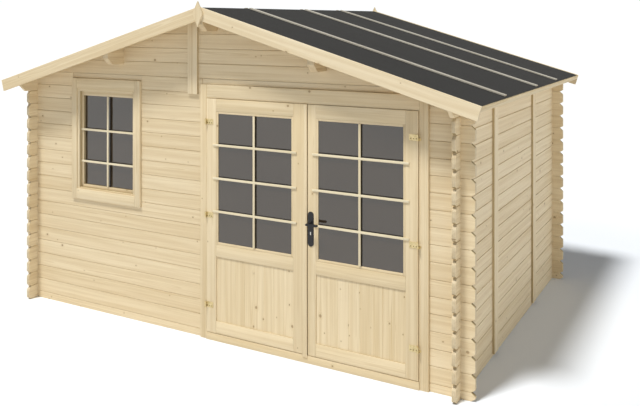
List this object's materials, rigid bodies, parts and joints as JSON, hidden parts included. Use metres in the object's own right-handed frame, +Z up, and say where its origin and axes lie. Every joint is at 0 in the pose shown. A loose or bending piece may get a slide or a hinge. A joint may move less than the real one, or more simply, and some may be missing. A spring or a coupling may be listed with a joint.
{
  "type": "garden shed",
  "caption": "Log-style timber garden shed with a shallow gable roof, glazed double doors and a barred window beside them.",
  "frame": {"origin": "centre of the footprint, on the ground", "axes": "+Z up, -Y out of the front with the doors, +X to the right seen from the front"},
  "size_m": [4.41, 3.244, 2.65],
  "materials": {
    "wall_wood": "planed, untreated",
    "roof_wood": "planed, untreated",
    "trim_wood": "planed, untreated",
    "joinery_wood": "planed smooth",
    "felt": "matt, fine grit",
    "glass": "clear",
    "hinge_metal": "yellow passivated",
    "handle_metal": "black satin"
  },
  "bodies": {
    "shed": {"left_wall": "wall_wood", "right_wall": "wall_wood", "back_wall": "wall_wood", "front_wall_left": "wall_wood", "front_wall_right": "wall_wood", "front_gable": "wall_wood", "eave_boards": "wall_wood", "ridge_purlin": "roof_wood", "side_purlins": "roof_wood", "roof_boards_left": "roof_wood", "roof_boards_right": "roof_wood", "roof_felt_left": "felt", "roof_felt_right": "felt", "eave_trims": "trim_wood", "felt_laths": "trim_wood", "barge_boards": "trim_wood", "finials": "trim_wood", "side_cover_boards": "trim_wood", "gable_cover_boards": "trim_wood", "gap_boards": "trim_wood", "door_side_casings": "joinery_wood", "door_head_casing": "joinery_wood", "door_threshold": "joinery_wood", "window_side_casings": "joinery_wood", "window_cross_casings": "joinery_wood", "window_frame": "joinery_wood", "window_sash": "joinery_wood", "window_glass": "glass", "window_bars": "joinery_wood", "hinge_pins": "hinge_metal"},
    "door_left": {"door_left_stiles": "joinery_wood", "door_left_rails": "joinery_wood", "door_left_glass": "glass", "door_left_panel": "joinery_wood", "door_left_bars": "joinery_wood", "door_left_strip": "joinery_wood", "door_left_hinges": "hinge_metal"},
    "door_right": {"door_right_stiles": "joinery_wood", "door_right_rails": "joinery_wood", "door_right_glass": "glass", "door_right_panel": "joinery_wood", "door_right_bars": "joinery_wood", "door_right_hinges": "hinge_metal", "lock_plates": "handle_metal"},
    "lever": {"handle_lever": "handle_metal"}
  },
  "joints": [
    {"name": "door_left_hinge", "type": "hinge", "parent": "shed", "child": "door_left", "pos_m": [-0.06, -1.44, 0.98], "axis": [0, 0, 1], "range_deg": [-170, 0]},
    {"name": "door_right_hinge", "type": "hinge", "parent": "shed", "child": "door_right", "pos_m": [1.714, -1.44, 0.98], "axis": [0, 0, 1], "range_deg": [0, 140]},
    {"name": "lever_turn", "type": "hinge", "parent": "door_right", "child": "lever", "pos_m": [0.881, -1.426, 1.03], "axis": [0, 1, 0], "range_deg": [0, 40], "stiffness_Nm_per_rad": 0.6}
  ]
}
